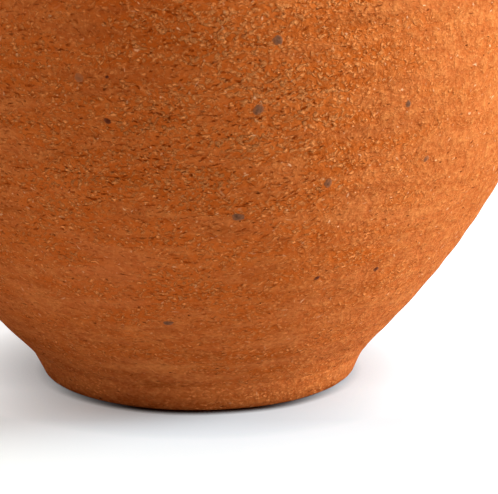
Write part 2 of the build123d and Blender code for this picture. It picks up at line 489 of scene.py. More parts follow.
# %% Wads
wad_height, wad_spread = 8.0, 6.0
neck_curve = sorted(neck_outside, key=lambda point: point[1])


def pot_radius(height):
    """Outer radius of the shoulder or neck at a height."""
    if height <= neck_foot_height:
        share = (height - belly_height) / shoulder_height
        return crown_radius + shoulder_reach * math.sqrt(max(0.0, 1.0 - share**2))
    for (low_radius, low), (high_radius, high) in zip(neck_curve, neck_curve[1:]):
        if height <= high:
            return low_radius + (high_radius - low_radius) * (height - low) / (high - low)
    return neck_top_radius


def to_wall(start, along):
    """How far along a direction the wall lies from a place, found by halving."""
    low, high = -16.0, 16.0
    for k in range(24):
        middle = (low + high) / 2
        place = start + along * middle
        inside = math.hypot(place.x, place.y) < pot_radius(place.z)
        low, high = (middle, high) if inside else (low, middle)
    return low


def root_wads(name, side):
    """The two wads of one handle in one mesh."""
    points, faces = [], []
    roots = [
        (neck_root, (loop_corners[1] - loop_corners[0]).normalized()),
        (shoulder_root, root_out),
    ]
    for root, away in roots:
        along = Vector((away.x, 0.0, away.y))
        through_axis = Vector((-away.y, 0.0, away.x))
        round_count, rings = 72, []
        bends = spaced(0.0, math.pi / 2, 10)
        curve = [(0.25 + wad_spread * (1 - math.cos(t)), wad_height * (1 - math.sin(t))) for t in bends]
        curve += [(wad_spread * 0.9, -0.8), (wad_spread * 0.3, -1.6), (-1.2, -1.4), (-1.5, wad_height * 0.6)]
        for out, height in curve:
            rings.append(range(len(points), len(points) + round_count))
            for k in range(round_count):
                turn = math.tau * k / round_count
                across = (strap_width / 2 * 1.15 + out * 1.1) * math.cos(turn)
                through = (strap_thickness / 2 + out) * math.sin(turn)
                base = Vector((root.x, 0.0, root.y)) + Vector((0, across, 0)) + through_axis * through
                rough = 1.0 + 0.25 * noise.noise(Vector((across, through, root.y)) / 7.0)
                place = base + along * (to_wall(base, along) + height * (rough if height > 0 else 1.0))
                points.append(Vector((place.x * side, place.y, place.z)) * MM)
        faces += skin(rings, closed=True)
    if side > 0:
        faces = [tuple(reversed(face)) for face in faces]
    return piece_from(name, points, faces)


right_handle_wads = root_wads("right_handle_wads", 1)
left_handle_wads = root_wads("left_handle_wads", -1)

# %% [markdown]
# ## Lid
# The lid is a shallow dome with a brim on the rim, a ring under it that keeps it in the mouth, and a
# turned knob whose stub goes through the dome. The brim's underside and the ring stay true, so the lid
# lifts out without scraping.

# %% Lid dome, flange and knob
lid_gap, brim_thickness, dome_rise, dome_wall = 0.3, 7.0, 16.0, 8.0
lid_radius, flange_radius, flange_bore_radius, flange_depth = 72.0, 54.5, 48.5, 13.0
tenon_radius = 7.0
brim_bottom = rim_top + lid_gap
brim_top = brim_bottom + brim_thickness
dome_top = brim_top + dome_rise


def dome_arc(edge_radius, edge_height, rise, inner_radius, count):
    """Points on a dome from its edge in to a radius near its top."""
    ball = (edge_radius**2 + rise**2) / (2 * rise)
    low = edge_height + rise - ball
    radii = spaced(edge_radius, inner_radius, count)
    return [(radius, low + math.sqrt(ball**2 - radius**2)) for radius in radii]


dome_outside = dome_arc(lid_radius, brim_top, dome_rise, tenon_radius, 60)
hollow_rise = dome_top - dome_wall - brim_bottom
dome_inside = dome_arc(flange_bore_radius, brim_bottom, hollow_rise, tenon_radius, 24)[::-1]
brim_under = soft_corner((flange_radius, brim_bottom), (lid_radius, brim_bottom), (lid_radius, brim_top), 2.0)
brim_over = soft_corner((lid_radius, brim_bottom), (lid_radius, brim_top), dome_outside[6], 2.4, 8)
dome_start = [point for point in dome_outside if point[0] < brim_over[-1][0] - 0.5]
dome_outline = (
    run(dome_inside, floor_spiral, fade_in=4.0, fade_out=4.0)
    + run(line((flange_bore_radius, brim_bottom), brim_under[0], 4.0))
    + run(brim_under)
    + run(line(brim_under[-1], brim_over[0], 1.0))
    + run(brim_over + dome_start, wiped_skin, fade_in=3.0, fade_out=6.0, whole=True)
)
lid_dome = turned("lid_dome", dome_outline, around=360)

flange_low = brim_bottom - flange_depth
flange_corners = [
    (flange_bore_radius, brim_bottom),
    (flange_bore_radius, flange_low),
    (flange_radius, flange_low),
    (flange_radius, brim_bottom),
]
flange_in = soft_corner(*flange_corners[:3], 2.0)
flange_out = soft_corner(*flange_corners[1:], 2.0)
flange_outline = (
    run(flange_in)
    + run(line(flange_in[-1], flange_out[0], 1.0))
    + run(flange_out)
    + run(line(flange_out[-1], flange_corners[3], 1.5))
    + run(line(flange_corners[3], flange_corners[0], 3.0))
    + run(line(flange_corners[0], flange_in[0], 1.5))
)
lid_flange = turned("lid_flange", flange_outline, around=240)

knob_height, knob_radius, knob_cap_rise = 28.0, 19.0, 10.0
knob_edge = (knob_radius, dome_top + knob_height - knob_cap_rise)
knob_cove = arc_through((14.0, dome_top - 4.0), (10.0, dome_top + 8.0), knob_edge, 40)
knob_root = [point for point in knob_cove if point[1] > dome_top - 1.6]
knob_cap = dome_arc(knob_radius, knob_edge[1], knob_cap_rise, 0.0, 24)
knob_lip = soft_corner(knob_cove[-6], knob_edge, knob_cap[4], 3.5, 10)
knob_up = [point for point in knob_root if point[1] < knob_lip[0][1] - 0.4]
knob_over = [point for point in knob_cap if point[0] < knob_lip[-1][0] - 0.4]
stub_low = dome_inside[0][1]
knob_foot = [(0.0, stub_low), (tenon_radius, stub_low), (tenon_radius, dome_start[-1][1] - 0.6)]
knob_foot.append((knob_up[0][0], knob_up[0][1] - 0.8))
knob_outline = run(knob_foot, whole=True)
knob_outline += run(knob_up + knob_lip + knob_over[:-1], wiped_skin, fade_in=3.0, fade_out=4.0, whole=True)
knob_outline += run([(0.0, knob_over[-1][1])], whole=True)
lid_knob = turned("lid_knob", knob_outline, around=144)

# %% [markdown]
# ## Grit
# The clay was opened with crushed dark stone so that it would stand the fire, and a few grains lie bare
# in the wiped skin. The ones in view are set where they show: a ray from the camera through a pixel of
# the picture finds their place on the wall. More are scattered over the rest of the jar by a seeded draw,
# so the back looks like the front.

# %% Grit stones
grit_in_view = [  # pixel across, pixel down, length and width in pixels, tilt in degrees, film of clay, iron
    (278.0, 40.0, 14.0, 11.5, 0.0, 0.0, 0.0),
    (258.0, 110.0, 15.0, 11.5, 25.0, 0.0, 0.0),
    (238.5, 217.0, 17.0, 9.5, 0.0, 0.0, 0.0),
    (168.0, 323.0, 14.0, 6.0, 0.0, 0.0, 0.0),
    (328.0, 183.0, 10.5, 9.0, 0.0, 0.1, 0.0),
    (408.0, 104.0, 9.0, 7.5, 0.0, 0.1, 0.0),
    (426.0, 159.0, 9.5, 6.0, 10.0, 0.3, 0.0),
    (79.0, 78.0, 13.0, 11.0, 10.0, 0.4, 0.0),
    (107.5, 121.0, 10.0, 7.5, -35.0, 0.0, 1.0),
    (107.0, 77.0, 5.0, 4.0, 30.0, 0.0, 1.0),
    (376.0, 269.0, 9.0, 4.5, 20.0, 0.0, 1.0),
    (317.0, 278.0, 9.0, 4.0, 25.0, 0.0, 1.0),
]
pixel_size = view_distance / focal_pixels
grain_dome, grain_sunk, grain_root = 0.62, 0.45, 1.1  # a grain's top, how deep it sits, and its root, in mm


def on_wall(across, down):
    """Where a pixel of the picture lies on the wall, and the way the wall faces there, in mm."""
    ray = look_along + Vector((1, 0, 0)) * (across - image_width / 2) / focal_pixels
    ray += look_up * (image_height / 2 - down) / focal_pixels
    met = []
    for half_jar in (lower_wall, upper_wall):
        hit, place, facing, face = half_jar.ray_cast(view_place * MM, ray.normalized())
        if hit:
            met.append((place / MM, facing))
    return min(met, key=lambda spot: (spot[0] - view_place).length)


def grit_stone(place, facing, length, width, tilt, film_over, seed):
    """Points and faces of one worn grain, sunk so that only its top shows."""
    level = Vector((0, 0, 1)).cross(facing).normalized()
    rise = facing.cross(level)
    along = level * math.cos(tilt) + rise * math.sin(tilt)
    aside = facing.cross(along)
    points, faces = [], []
    ring_count, round_count = 7, 24
    for ring in range(ring_count):
        lean = math.pi / 2 * ring / (ring_count - 1)
        for k in range(round_count if ring else 1):
            turn = math.tau * k / round_count
            round_it = Vector((math.cos(turn) * 1.6, math.sin(turn) * 1.6, seed * 3.7))
            reach = math.sin(lean) * (1.0 + 0.24 * noise.noise(round_it))
            spot = place + along * reach * length / 2 * math.cos(turn)
            spot += aside * reach * width / 2 * math.sin(turn)
            points.append(spot + facing * (grain_dome * math.cos(lean) - grain_sunk))
    points.append(place - facing * grain_root)
    for k in range(round_count):
        nxt = (k + 1) % round_count
        faces.append((0, 1 + k, 1 + nxt))
        for ring in range(ring_count - 2):
            low, high = 1 + ring * round_count, 1 + (ring + 1) * round_count
            faces.append((low + k, high + k, high + nxt, low + nxt))
        last = 1 + (ring_count - 2) * round_count
        faces.append((last + k, len(points) - 1, last + nxt))
    film = [ring / (ring_count - 1) for ring in range(1, ring_count) for k in range(round_count)]
    return points, faces, [share + film_over for share in [0.0] + film + [1.0]]


grit_tries, grit_gap = 150, 16.0  # draws for the rest of the jar, and mm from one grain to the next


def grit_seen():
    """The grains in view: place, facing, length, width, tilt, film of clay and iron of each."""
    stones = []
    for across, down, length, width, tilt, film_over, iron in grit_in_view:
        place, facing = on_wall(across, down)
        lean = max(0.35, -facing.dot(look_along))
        wide = width * pixel_size / lean
        stones.append((place, facing, length * pixel_size, wide, math.radians(tilt), film_over, iron))
    return stones


def grit_around(stones):
    """Adds seeded grains all round, away from the ones in view."""
    draw = random.Random(11)
    for k in range(grit_tries):
        angle, height = draw.uniform(0, math.tau), draw.uniform(22.0, 205.0)
        length = draw.uniform(1.6, 4.2)
        shape = draw.uniform(0.6, 0.95)
        tilt = draw.uniform(-0.4, 0.4)
        front = math.cos(angle + math.pi / 2) > 0.1 and height < 155.0
        if front:
            continue
        radius = wall_radius(height) if height < belly_height else pot_radius(height)
        outwards = Vector((math.cos(angle), math.sin(angle), 0.0))
        start = outwards * (radius + 20.0)
        start.z = height
        target = lower_wall if height < belly_height else upper_wall
        hit, place, facing, face = target.ray_cast(start * MM, -outwards)
        if hit and all((place / MM - stone[0]).length > grit_gap for stone in stones):
            film_over, iron = draw.choice((0.0, 0.1, 0.4)), draw.choice((0.0, 0.0, 0.0, 1.0))
            stones.append((place / MM, facing, length, length * shape, tilt, film_over, iron))


def all_grit():
    """Every grain in one mesh."""
    stones = grit_seen()
    grit_around(stones)
    points, faces, films, stains = [], [], [], []
    for number, (*stone, iron) in enumerate(stones):
        grain_points, grain_faces, grain_film = grit_stone(*stone, number)
        faces += [tuple(corner + len(points) for corner in face) for face in grain_faces]
        points += [point * MM for point in grain_points]
        films += grain_film
        stains += [iron] * len(grain_film)
    made = piece_from("grit_stones", points, faces)
    made.data.attributes.new("film", "FLOAT", "POINT").data.foreach_set("value", films)
    made.data.attributes.new("iron", "FLOAT", "POINT").data.foreach_set("value", stains)
    print(len(stones), "grains,", len(grit_in_view), "of them in view")
    return made


bpy.context.view_layer.update()
grit_stones = all_grit()

# %% [markdown]
# ## Colours and nodes
# Colours are picked as sRGB hex values, as a painter's swatch would give them, and one function turns
# them into the linear values that light works with. One small function adds a node, sets it and links it.

# %% Colours and nodes
def swatch(code):
    """Linear RGBA from an sRGB hex value."""
    parts = [int(code[k : k + 2], 16) / 255 for k in (1, 3, 5)]
    linear = [p / 12.92 if p <= 0.04045 else ((p + 0.055) / 1.055) ** 2.4 for p in parts]
    return (*linear, 1.0)


def add(tree, kind, inputs=None, **settings):
    """Adds a node, sets its options, sets or links its inputs, and gives its outputs."""
    made = tree.nodes.new(kind)
    for name, value in settings.items():
        setattr(made, name, value)
    for name, value in (inputs or {}).items():
        if isinstance(value, bpy.types.NodeSocket):
            tree.links.new(value, made.inputs[name])
        else:
            made.inputs[name].default_value = value
    return made.outputs


print("mid grey is", [round(v, 3) for v in swatch("#808080")[:3]], "in linear light")

# %% [markdown]
# ## A drag mark
# When wet clay is wiped, each bit of chaff or grit is dragged and leaves a short ridge, a scratch or a
# pit. Noise alone gives blobs, so the mark is drawn: the skin is divided into cells, and each cell holds
# one short stroke with its own lean, bend and length. It is a node group, so that ridges, scratches, pits
# and glints can share it at their own sizes.

# %% The drag mark group
def drag_mark_group():
    """A node group that gives one short stroke in each cell of the skin, from 0 to 1."""
    tree = bpy.data.node_groups.new("Drag mark", "ShaderNodeTree")
    for name, kind in (
        ("Place", "NodeSocketVector"),
        ("Shift", "NodeSocketVector"),
        ("Spread", "NodeSocketFloat"),
        ("Length", "NodeSocketFloat"),
        ("Width", "NodeSocketFloat"),
        ("Lean", "NodeSocketFloat"),
        ("Bend", "NodeSocketFloat"),
        ("Share", "NodeSocketFloat"),
    ):
        tree.interface.new_socket(name=name, in_out="INPUT", socket_type=kind)
    tree.interface.new_socket(name="Mark", in_out="OUTPUT", socket_type="NodeSocketFloat")
    given = add(tree, "NodeGroupInput")

    # one cell for each mark
    fine = add(tree, "ShaderNodeMath", {0: 1.0, 1: given["Spread"]}, operation="DIVIDE")[0]
    cells = {0: given["Place"], "Scale": fine}
    scaled = add(tree, "ShaderNodeVectorMath", cells, operation="SCALE")[0]
    cells = {0: scaled, 1: given["Shift"]}
    moved = add(tree, "ShaderNodeVectorMath", cells, operation="ADD")[0]
    cell = add(tree, "ShaderNodeTexVoronoi", {"Vector": moved, "Scale": 1.0, "Randomness": 1.0})
    from_middle = {0: moved, 1: cell["Position"]}
    away = add(tree, "ShaderNodeVectorMath", from_middle, operation="SUBTRACT")[0]
    from_middle = {0: away, "Scale": given["Spread"]}
    away = add(tree, "ShaderNodeVectorMath", from_middle, operation="SCALE")[0]

    # how far round the jar and how far up the wall the place lies from the middle of its cell
    axis = (0.0, 0.0, 1.0)
    level = add(tree, "ShaderNodeVectorMath", {0: axis, 1: given["Place"]}, operation="CROSS_PRODUCT")
    level = add(tree, "ShaderNodeVectorMath", {0: level[0]}, operation="NORMALIZE")[0]
    facing = add(tree, "ShaderNodeNewGeometry")["Normal"]
    rise = add(tree, "ShaderNodeVectorMath", {0: facing, 1: level}, operation="CROSS_PRODUCT")[0]
    across = add(tree, "ShaderNodeVectorMath", {0: away, 1: level}, operation="DOT_PRODUCT")["Value"]
    upward = add(tree, "ShaderNodeVectorMath", {0: away, 1: rise}, operation="DOT_PRODUCT")["Value"]
    flat = add(tree, "ShaderNodeCombineXYZ", {"X": across, "Y": upward})[0]

    # lean, bend and length of this mark alone
    luck = add(tree, "ShaderNodeSeparateColor", {0: cell["Color"]})
    lean = add(tree, "ShaderNodeMath", {0: luck[0], 1: 0.5}, operation="SUBTRACT")[0]
    lean = add(tree, "ShaderNodeMath", {0: lean, 1: given["Lean"]}, operation="MULTIPLY")[0]
    leaning = {"Vector": flat, "Angle": lean}
    leaning = add(tree, "ShaderNodeVectorRotate", leaning, rotation_type="Z_AXIS")[0]
    along, aside = add(tree, "ShaderNodeSeparateXYZ", {0: leaning})[:2]
    bow = add(tree, "ShaderNodeMath", {0: luck[1], 1: 0.5}, operation="SUBTRACT")[0]
    bow = add(tree, "ShaderNodeMath", {0: bow, 1: given["Bend"]}, operation="MULTIPLY")[0]
    square = add(tree, "ShaderNodeMath", {0: along, 1: along}, operation="MULTIPLY")[0]
    aside = add(tree, "ShaderNodeMath", {0: square, 1: bow, 2: aside}, operation="MULTIPLY_ADD")[0]
    longer = add(tree, "ShaderNodeMath", {0: luck[2], 1: 0.5}, operation="ADD")[0]
    longer = add(tree, "ShaderNodeMath", {0: longer, 1: given["Length"]}, operation="MULTIPLY")[0]

    # its width, from half to one and a half times the usual
    along = add(tree, "ShaderNodeMath", {0: along, 1: longer}, operation="DIVIDE")[0]
    dice = add(tree, "ShaderNodeTexWhiteNoise", {"Vector": cell["Position"]})
    wide = add(tree, "ShaderNodeSeparateColor", {0: dice["Color"]})[1]
    wide = add(tree, "ShaderNodeMath", {0: wide, 1: 1.0, 2: 0.55}, operation="MULTIPLY_ADD")[0]
    wide = add(tree, "ShaderNodeMath", {0: wide, 1: given["Width"]}, operation="MULTIPLY")[0]
    aside = add(tree, "ShaderNodeMath", {0: aside, 1: wide}, operation="DIVIDE")[0]

    # full along the stroke's middle, nothing beyond its edge, and left out where the cell has no luck
    oval = add(tree, "ShaderNodeCombineXYZ", {"X": along, "Y": aside})[0]
    reach = add(tree, "ShaderNodeVectorMath", {0: oval}, operation="LENGTH")["Value"]
    full = {"Value": reach, "From Min": 1.0, "From Max": 0.15, "To Min": 0.0, "To Max": 1.0}
    stroke = add(tree, "ShaderNodeMapRange", full, interpolation_type="SMOOTHSTEP")[0]
    lucky = {0: given["Share"], 1: dice["Value"]}
    spare = add(tree, "ShaderNodeMath", lucky, operation="SUBTRACT")[0]
    lucky = {0: spare, 1: 1.8}
    strength = add(tree, "ShaderNodeMath", lucky, operation="MULTIPLY", use_clamp=True)[0]
    mark = add(tree, "ShaderNodeMath", {0: stroke, 1: strength}, operation="MULTIPLY")[0]
    add(tree, "NodeGroupOutput", {"Mark": mark})
    print("drag mark group:", len(tree.nodes), "nodes")
    return tree


drag_mark = drag_mark_group()

# %% [markdown]
# ## Terracotta: its grain
# Terracotta is iron-bearing earthenware, fired low and left bare. It is dull, with no gloss to speak of,
# and its orange is never even. One colour with noise over it would look like plastic, so the clay is
# built up as it came about: first its grain, then the colour from the fire, then the rough and smooth
# places, then the marks. The grain comes from the wiping, which draws everything out round the jar, so
# the noise is squeezed along the level. Sizes are in millimetres.

# %% The grain of the clay
def clay_grain(tree, mm, aside):
    """Places that wander as clay does under a wet hand, the patterns in the clay, and their relief in mm."""
    wander = {"Vector": mm, "Scale": 1 / 1.1, "Detail": 4.0, "Roughness": 0.65}
    shake = add(tree, "ShaderNodeTexNoise", wander)["Color"]
    wander = {0: shake, 1: (0.5, 0.5, 0.5)}
    shake = add(tree, "ShaderNodeVectorMath", wander, operation="SUBTRACT")[0]
    wander = {0: shake, 1: (1.2, 1.2, 1.2), 2: mm}
    place = add(tree, "ShaderNodeVectorMath", wander, operation="MULTIPLY_ADD")[0]

    # wiping streaks and wider bands, long round the jar, then the grain itself, and clumps
    pattern = {}
    for name, squeeze, size in (("streak", 0.07, 1.3), ("band", 0.18, 4.5), ("grain", 0.5, 0.6)):
        drawn_out = {0: place, 1: (squeeze, squeeze, 1.0)}
        stretch = add(tree, "ShaderNodeVectorMath", drawn_out, operation="MULTIPLY")[0]
        spots = {"Vector": stretch, "Scale": 1 / size, "Detail": 3.0}
        pattern[name] = add(tree, "ShaderNodeTexNoise", spots)[0]
    spots = {"Vector": mm, "Scale": 1 / 3.0, "Detail": 2.0}
    pattern["clump"] = add(tree, "ShaderNodeTexNoise", spots)[0]

    # the bands are fainter on the right, where the hand pressed harder
    spans = {"Value": aside, "From Min": 25.0, "From Max": 78.0, "To Min": 1.0, "To Max": 0.4}
    even = add(tree, "ShaderNodeMapRange", spans)[0]
    pattern["band"] = add(tree, "ShaderNodeMix", {0: even, 2: 0.5, 3: pattern["band"]})[0]
    relief = 0.0
    for name, height in (("streak", 0.16), ("clump", 1.0), ("grain", 0.24)):
        raised = {0: pattern[name], 1: height, 2: relief}
        relief = add(tree, "ShaderNodeMath", raised, operation="MULTIPLY_ADD")[0]
    return place, pattern, relief


# %% [markdown]
# ## Terracotta: the colour from the fire
# The fire leaves a jar paler on one side and darker on another, and wiping leaves bands of finer and
# coarser clay. A painted map would need a picture, so the colour is laid on in thin washes instead: each
# one lies over those before it where its pattern is strong. Paler washes are whiter and darker ones
# redder. A few darker and paler patches that can be seen are set by their place in the picture.

# %% The colour from the fire
washes = (  # pattern, its value where the wash starts and where it is full, cover, colour
    ("streak", 0.35, 0.80, 0.45, "#984C1B"),
    ("band", 0.50, 0.25, 0.92, "#9A4E1A"),
    ("band", 0.50, 0.75, 0.92, "#CF8043"),
    ("clump", 0.45, 0.75, 0.70, "#D28446"),
    ("grain", 0.45, 0.75, 0.34, "#DA8F50"),
    ("grain", 0.50, 0.20, 0.34, "#924610"),
)
patches_in_view = (  # middle in the picture, reach in mm, colour, cover
    (145, 5, 40.0, "#8C3C0C", 0.60),
    (105, 275, 30.0, "#C7713D", 0.55),
    (275, 270, 28.0, "#A4541F", 0.40),
)


def wash(tree, tone, colour, cover, value, empty, full, edge="LINEAR"):
    """Lays a colour over a tone: none where a value is empty, and up to its cover where the value is full."""
    spans = {"Value": value, "From Min": empty, "From Max": full, "To Max": cover}
    part = add(tree, "ShaderNodeMapRange", spans, interpolation_type=edge)[0]
    layer = {0: part, 6: tone, 7: swatch(colour)}
    return add(tree, "ShaderNodeMix", layer, data_type="RGBA")[2]


def clay_tone(tree, mm, pattern):
    """The colour of the bare clay: slow clouds, washes of the wiping, and the darker and paler patches in
    view.
    """
    cloud = add(tree, "ShaderNodeTexNoise", {"Vector": mm, "Scale": 1 / 38.0, "Detail": 4.0})[0]
    cloud = add(tree, "ShaderNodeMapRange", {"Value": cloud, "From Min": 0.3, "From Max": 0.7})[0]
    fired = {0: cloud, 6: swatch("#B05D2B"), 7: swatch("#C26A35")}
    tone = add(tree, "ShaderNodeMix", fired, data_type="RGBA")[2]
    for name, empty, full, cover, colour in washes:
        tone = wash(tree, tone, colour, cover, pattern[name], empty, full)
    for across, down, size, colour, cover in patches_in_view:
        middle = on_wall(across, down)[0]
        away = add(tree, "ShaderNodeVectorMath", {0: mm, 1: middle}, operation="DISTANCE")["Value"]
        tone = wash(tree, tone, colour, cover, away, size, 0.0, "SMOOTHSTEP")
    return tone


# %% [markdown]
# ## Terracotta: rough and smooth places
# A wet hand doesn't press evenly. The foot and the sides of the belly are smooth, the middle is rough in
# patches, and where the hand came off the clay the skin is torn up into flakes. A mask painted by hand
# could say this, but a few distances and one slow noise do it in numbers, and go all round the jar.

# %% Rough and smooth places
hand_lifted = (225, 85)  # in the picture, where the wiping hand came off the clay


def clay_keeps(tree, mm, place, aside, height, grain, foot_calm):
    """How much of each sort of mark the clay keeps at a place, as factors by name."""
    # in patches, less so near the foot and to the sides, where the hand pressed harder
    patch = add(tree, "ShaderNodeTexNoise", {"Vector": mm, "Scale": 1 / 26.0, "Detail": 3.0})[0]
    spans = {"Value": patch, "From Min": 0.38, "From Max": 0.62, "To Min": 0.75, "To Max": 1.4}
    scored = add(tree, "ShaderNodeMapRange", spans)[0]
    spans = {"Value": height, "From Min": 12.0, "From Max": 85.0, "To Min": foot_calm, "To Max": 1.0}
    calm = add(tree, "ShaderNodeMapRange", spans)[0]
    scored = add(tree, "ShaderNodeMath", {0: scored, 1: calm}, operation="MULTIPLY")[0]
    for edge, end, left in ((-15.0, -65.0, 0.80), (25.0, 78.0, 0.22)):
        spans = {"Value": aside, "From Min": edge, "From Max": end, "To Min": 1.15, "To Max": left}
        smoother = add(tree, "ShaderNodeMapRange", spans)[0]
        scored = add(tree, "ShaderNodeMath", {0: scored, 1: smoother}, operation="MULTIPLY")[0]

    # raised bits crowd together along the wiping, most of all where the hand came off the clay
    drawn_out = {0: place, 1: (0.25, 0.25, 1.0)}
    stretch = add(tree, "ShaderNodeVectorMath", drawn_out, operation="MULTIPLY")[0]
    crowd = add(tree, "ShaderNodeTexNoise", {"Vector": stretch, "Scale": 1 / 6.0, "Detail": 3.0})[0]
    spans = {"Value": crowd, "From Min": 0.40, "From Max": 0.62, "To Min": 0.32, "To Max": 1.40}
    crowd = add(tree, "ShaderNodeMapRange", spans)[0]
    rough = add(tree, "ShaderNodeMath", {0: scored, 1: crowd}, operation="MULTIPLY")[0]
    lifted_from = {0: mm, 1: on_wall(*hand_lifted)[0]}
    away = add(tree, "ShaderNodeVectorMath", lifted_from, operation="DISTANCE")["Value"]
    spans = {"Value": away, "From Min": 15.0, "From Max": 45.0, "To Min": 1.7, "To Max": 1.0}
    ragged = add(tree, "ShaderNodeMapRange", spans)[0]
    rough = add(tree, "ShaderNodeMath", {0: rough, 1: ragged}, operation="MULTIPLY")[0]
    spans = {"Value": away, "From Min": 55.0, "From Max": 18.0}
    flaky = add(tree, "ShaderNodeMapRange", spans, interpolation_type="SMOOTHSTEP")[0]
    flaky = add(tree, "ShaderNodeMath", {0: flaky, 1: crowd}, operation="MULTIPLY")[0]

    # and they break up along the grain
    spans = {"Value": grain, "From Min": 0.40, "From Max": 0.54, "To Min": 0.3, "To Max": 1.35}
    crumb = add(tree, "ShaderNodeMapRange", spans)[0]
    return {"": (), "calm": (calm,), "scored": (scored,), "rough": (rough, crumb), "flaky": (flaky, crumb)}


# %% [markdown]
# ## Terracotta: the marks
# Chaff and grit in the clay leave grooves, scratches and pits, and crumbs and fibres, which catch pale slip.
# The dark of the grooves and scratches is partly the clay's own colour and partly painted shade in their
# hollows, and the dark of the pits is painted shade. The pale of the crumbs and fibres is partly slip and
# partly a painted highlight on their tops. All of them are drag marks of some size. They could be laid on
# side by side, but then the shader holds too many values at once, so they follow one another, and each
# pushes the next a little aside, as it does in wet clay.

# %% The marks
# pale slip with painted highlight on raised bits, dark furrows partly painted shade, and painted shade in
# pits
pale_slip_and_highlight, straw, dark_furrow_and_shade, pit_shade = "#FFA55E", "#FFD0A0", "#8E3600", "#521A00"
# name, spread, half length and half width in mm, lean in radians, bend, share, lift, colour, cover, and the
# sort of place that keeps it
mark_kinds = (
    ("groove", 7.0, 3.2, 0.34, 0.4, 0.03, 0.70, -0.6, dark_furrow_and_shade, 0.66, "scored"),
    ("chaff", 2.3, 1.35, 0.62, 2.2, 0.3, 0.95, 1.4, pale_slip_and_highlight, 0.78, "rough"),
    ("fine chaff", 1.6, 0.90, 0.48, 2.5, 0.4, 0.85, 1.0, pale_slip_and_highlight, 0.50, "rough"),
    ("scratch", 3.0, 1.35, 0.36, 1.3, 0.3, 0.64, -0.8, dark_furrow_and_shade, 0.66, "scored"),
    ("fine scratch", 1.9, 0.80, 0.29, 1.7, 0.5, 0.58, -0.6, dark_furrow_and_shade, 0.54, "scored"),
    ("flake", 3.0, 1.50, 0.76, 2.4, 0.25, 0.60, 1.0, pale_slip_and_highlight, 0.85, "flaky"),
    ("fleck", 1.7, 0.42, 0.30, 3.1, 0.0, 0.50, 0.5, pale_slip_and_highlight, 0.52, "calm"),
    ("dash", 6.0, 1.20, 0.34, 0.5, 0.1, 0.50, -0.8, pit_shade, 0.80, ""),
    ("pit", 8.0, 0.60, 0.45, 1.5, 0.2, 0.50, -1.2, pit_shade, 1.0, ""),
    ("glint", 5.0, 0.55, 0.32, 3.1, 0.3, 0.45, 0.3, straw, 0.95, "calm"),
    ("straw", 11.0, 1.10, 0.34, 3.1, 0.3, 0.45, 0.5, straw, 1.0, "calm"),
)


def clay_marks(tree, place, tone, relief, keeps, mark_height):
    """Colour and relief with every kind of mark laid over them in turn."""
    for number, kind in enumerate(mark_kinds):
        name, spread, length, width, lean, bend, share, lift, colour, cover, kept = kind
        sizes = {"Place": place, "Spread": spread, "Length": length, "Width": width, "Lean": lean}
        sizes |= {"Bend": bend, "Share": share, "Shift": (4.3 * number, 7.1 * number, 2.9 * number)}
        mark = add(tree, "ShaderNodeGroup", sizes, node_tree=drag_mark, label=name)["Mark"]
        for keep in keeps[kept]:
            mark = add(tree, "ShaderNodeMath", {0: mark, 1: keep}, operation="MULTIPLY")[0]
        raised = {0: mark, 1: lift * mark_height, 2: relief}
        relief = add(tree, "ShaderNodeMath", raised, operation="MULTIPLY_ADD")[0]
        part = add(tree, "ShaderNodeMath", {0: mark, 1: cover}, operation="MULTIPLY")[0]
        layer = {0: part, 6: tone, 7: swatch(colour)}
        tone = add(tree, "ShaderNodeMix", layer, data_type="RGBA")[2]
        pushed = {0: mark, 1: (0.1, 0.1, 0.1), 2: place}
        place = add(tree, "ShaderNodeVectorMath", pushed, operation="MULTIPLY_ADD")[0]
    return tone, relief


# %% [markdown]
# ## Terracotta: three finishes
# The wall was wiped coarse, the foot was smoothed on the wheel, and the handles were drawn through wet
# fingers. The clay is the same, so one function makes all three, and only the height of the marks and the
# share left near the foot change. Bare earthenware scatters nearly all its light, so its gloss is set
# almost to nothing.

# %% Terracotta in three finishes
def terracotta(name, mark_height, foot_calm):
    """Bare fired clay with marks of that height in mm. foot_calm is the share of them left near the foot."""
    clay = bpy.data.materials.new(name)
    clay.use_nodes = True
    tree = clay.node_tree
    tree.nodes.clear()
    where = add(tree, "ShaderNodeTexCoord")["Object"]
    mm = add(tree, "ShaderNodeVectorMath", {0: where, "Scale": 1000.0}, operation="SCALE")[0]
    sides = add(tree, "ShaderNodeSeparateXYZ", {0: mm})
    aside, height = sides["X"], sides["Z"]
    place, pattern, relief = clay_grain(tree, mm, aside)
    tone = clay_tone(tree, mm, pattern)
    keeps = clay_keeps(tree, mm, place, aside, height, pattern["grain"], foot_calm)

    # a firm wipe brings up fine pale slip, so rough clay stays deeper in colour, and the edge the jar stands
    # on gets painted shade, darkest where it meets the table
    tone = wash(tree, tone, "#BE5C17", 0.60, keeps["rough"][0], 0.2, 1.1)
    tone = wash(tree, tone, "#7E3A0C", 0.60, height, 8.0, 0.0)
    tone, relief = clay_marks(tree, place, tone, relief, keeps, mark_height)
    bump = add(tree, "ShaderNodeBump", {"Height": relief, "Strength": 1.0, "Distance": MM})[0]
    dull = {"Value": pattern["grain"], "To Min": 0.62, "To Max": 0.85}
    dull = add(tree, "ShaderNodeMapRange", dull)[0]
    finish = {"Base Color": tone, "Roughness": dull, "Normal": bump, "IOR": 1.5, "Specular IOR Level": 0.005}
    surface = add(tree, "ShaderNodeBsdfPrincipled", finish)[0]
    add(tree, "ShaderNodeOutputMaterial", {"Surface": surface})
    print(name, len(tree.nodes), "nodes")
    return clay


wiped_clay = terracotta("Terracotta wiped coarse", mark_height=0.36, foot_calm=0.35)
turned_clay = terracotta("Terracotta smoothed on the wheel", mark_height=0.16, foot_calm=0.30)
pulled_clay = terracotta("Terracotta pulled through wet fingers", mark_height=0.22, foot_calm=1.0)

# %% [markdown]
# ## Crushed stone
# The grit is dark volcanic stone. It looks grey, but only because it lies in orange clay: its own colour
# is a dull brown. Wiping has smeared a film of clay over parts of each grain.

